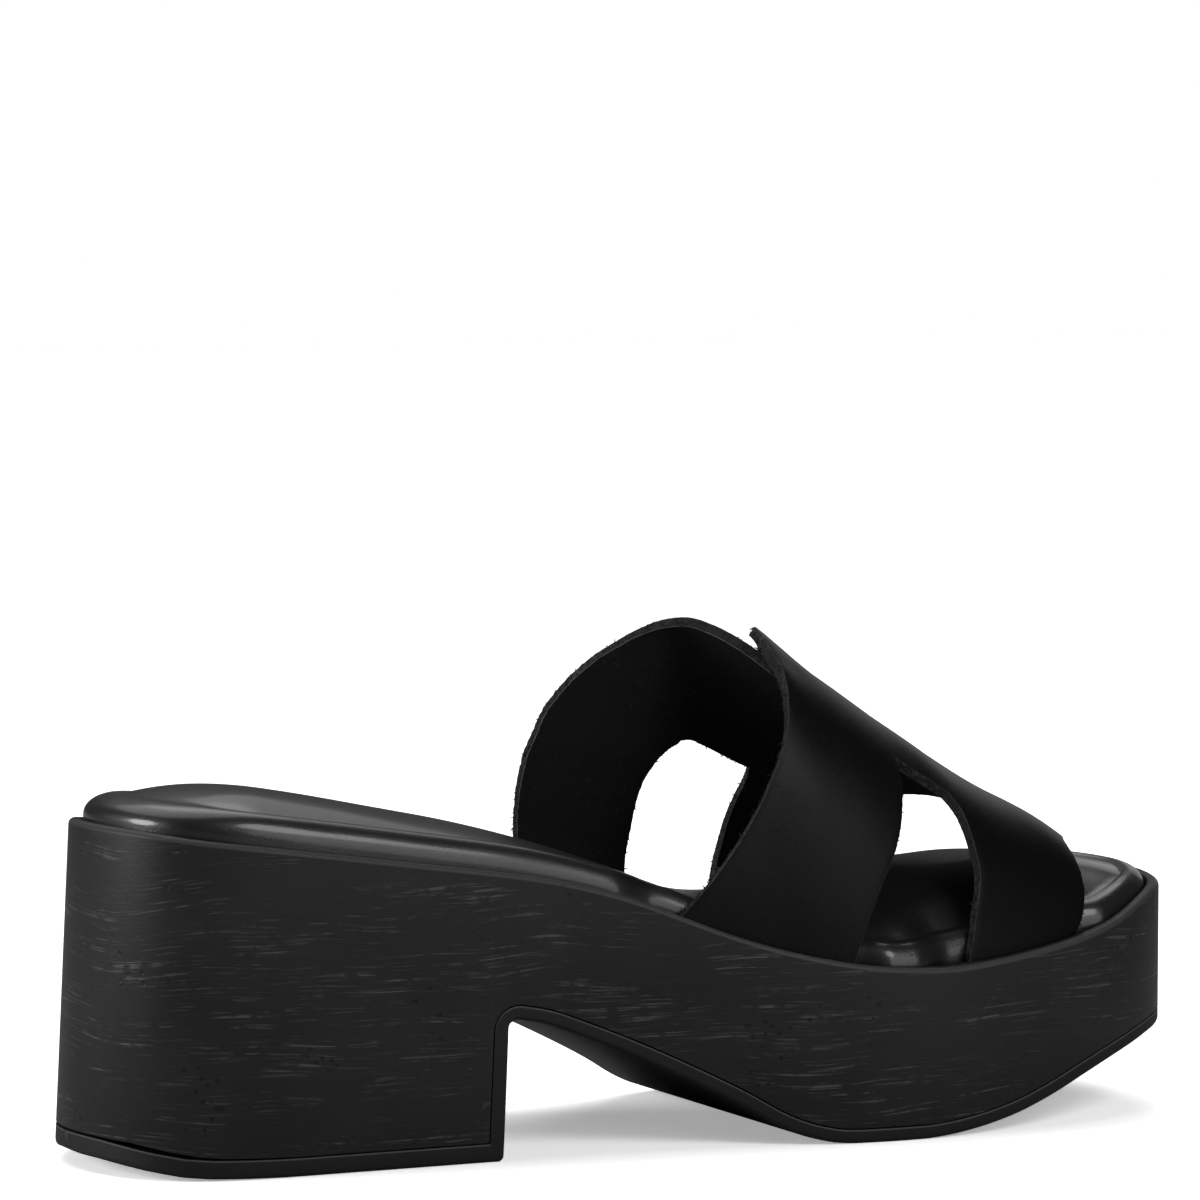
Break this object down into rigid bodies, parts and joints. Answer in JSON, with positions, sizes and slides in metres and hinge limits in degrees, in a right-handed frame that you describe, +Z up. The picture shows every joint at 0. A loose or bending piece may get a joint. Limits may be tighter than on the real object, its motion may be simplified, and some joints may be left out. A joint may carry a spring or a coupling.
{
  "type": "heeled clog",
  "caption": "Open mule on a platform and block heel: crossed leather straps over a padded footbed, moulded sole with a thin rubber layer underneath.",
  "frame": {"origin": "on the ground, at the middle of the heel's base", "axes": "+X from heel to toe, +Y to the outer (little toe) side, +Z up"},
  "size_m": [0.2591, 0.0871, 0.1131],
  "materials": {
    "sole_block": "satin, faint grain",
    "outsole_rubber": "matt",
    "insole_leather": "glossy",
    "strap_leather": "smooth, half gloss"
  },
  "bodies": {
    "root": {"sole": "sole_block", "outsole": "outsole_rubber", "insole": "insole_leather", "upper": "strap_leather"}
  },
  "joints": []
}
